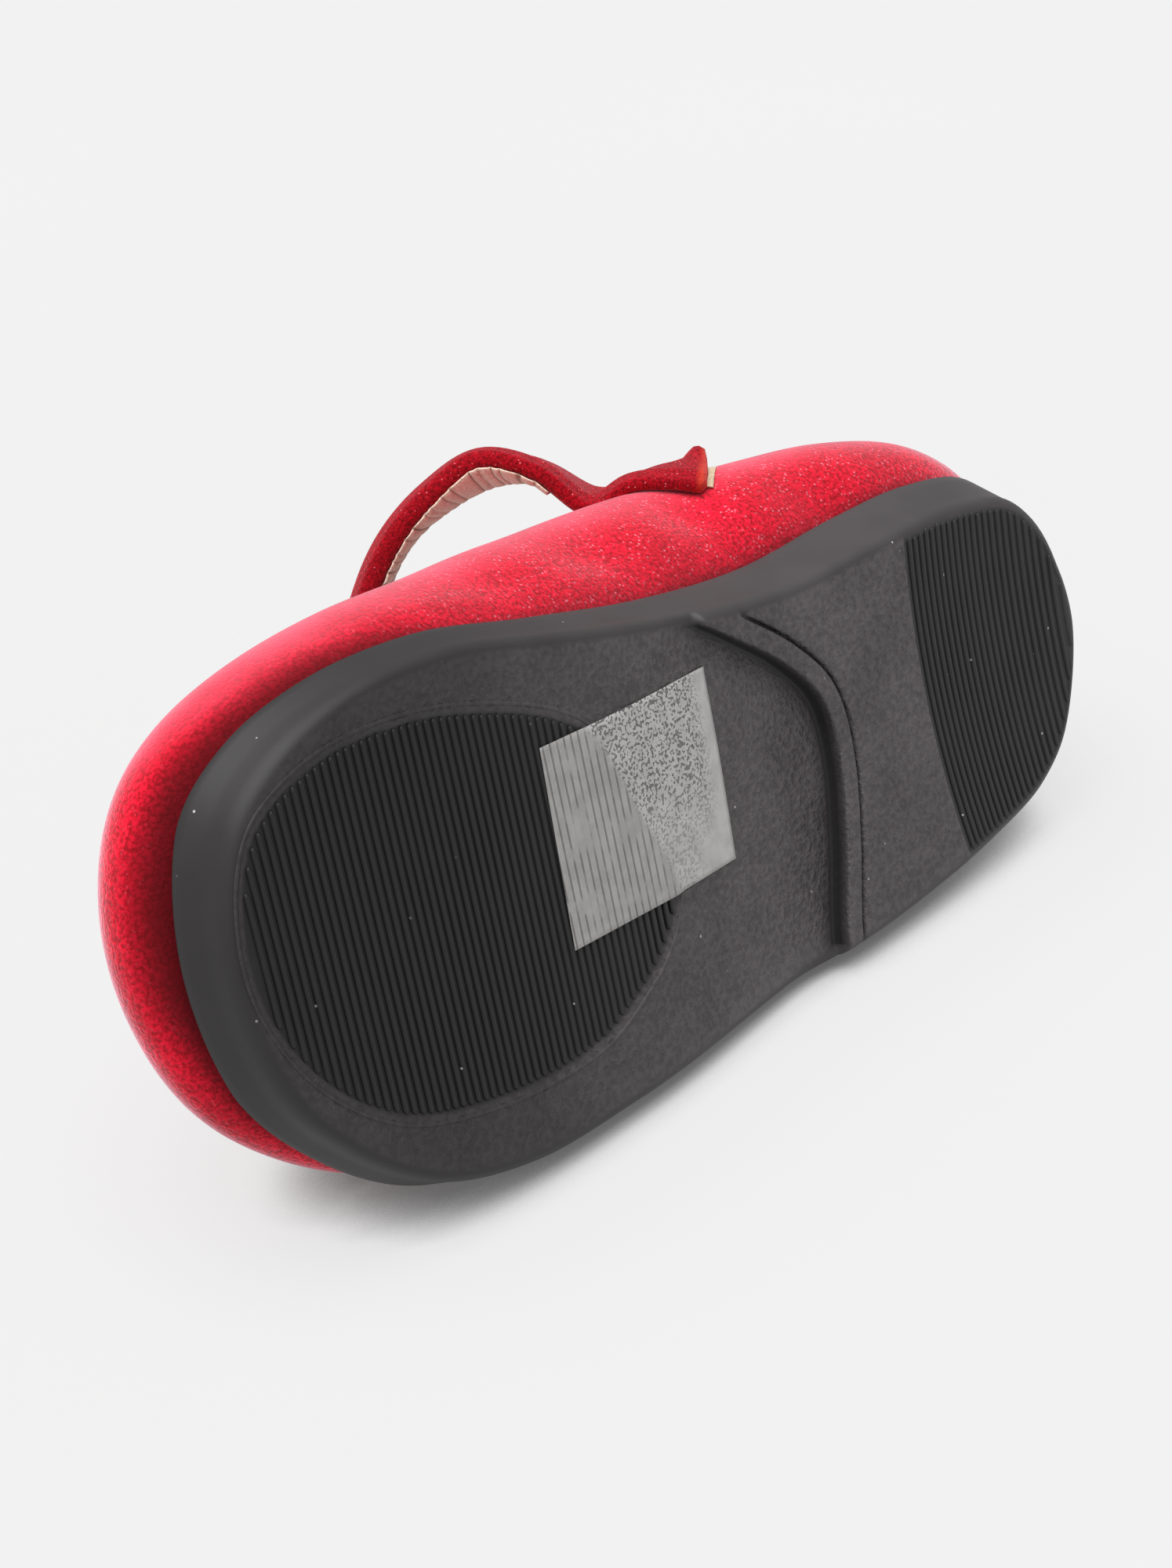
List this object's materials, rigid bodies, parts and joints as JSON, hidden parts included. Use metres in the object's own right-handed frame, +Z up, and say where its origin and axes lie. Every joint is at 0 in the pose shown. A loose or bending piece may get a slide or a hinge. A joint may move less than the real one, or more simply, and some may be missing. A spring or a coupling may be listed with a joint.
{
  "type": "child's ballet flat",
  "caption": "Child's right ballet flat with a velvet upper, a slack instep strap and a ribbed rubber sole, lying on its outer side.",
  "frame": {"origin": "bottom centre of the bounding box, on the floor that the shoe lies on", "axes": "+Z up, +X from the toe to the heel, -Y the way the sole faces, tipped up a little"},
  "size_m": [0.1476, 0.0692, 0.0576],
  "materials": {
    "sole_rubber": "matte moulded rubber with fine ribs and a pebbled grain",
    "upper_velvet": "bright red velvet with a soft nap",
    "lining": "beige woven lining",
    "strap_velvet": "dark red velvet strap with ribbed edges",
    "hook_tape": "cream hook tape"
  },
  "bodies": {
    "root": {"outsole": "sole_rubber", "upper": "upper_velvet", "insole": "lining", "strap": "strap_velvet", "fastening_pad": "hook_tape"}
  },
  "joints": []
}
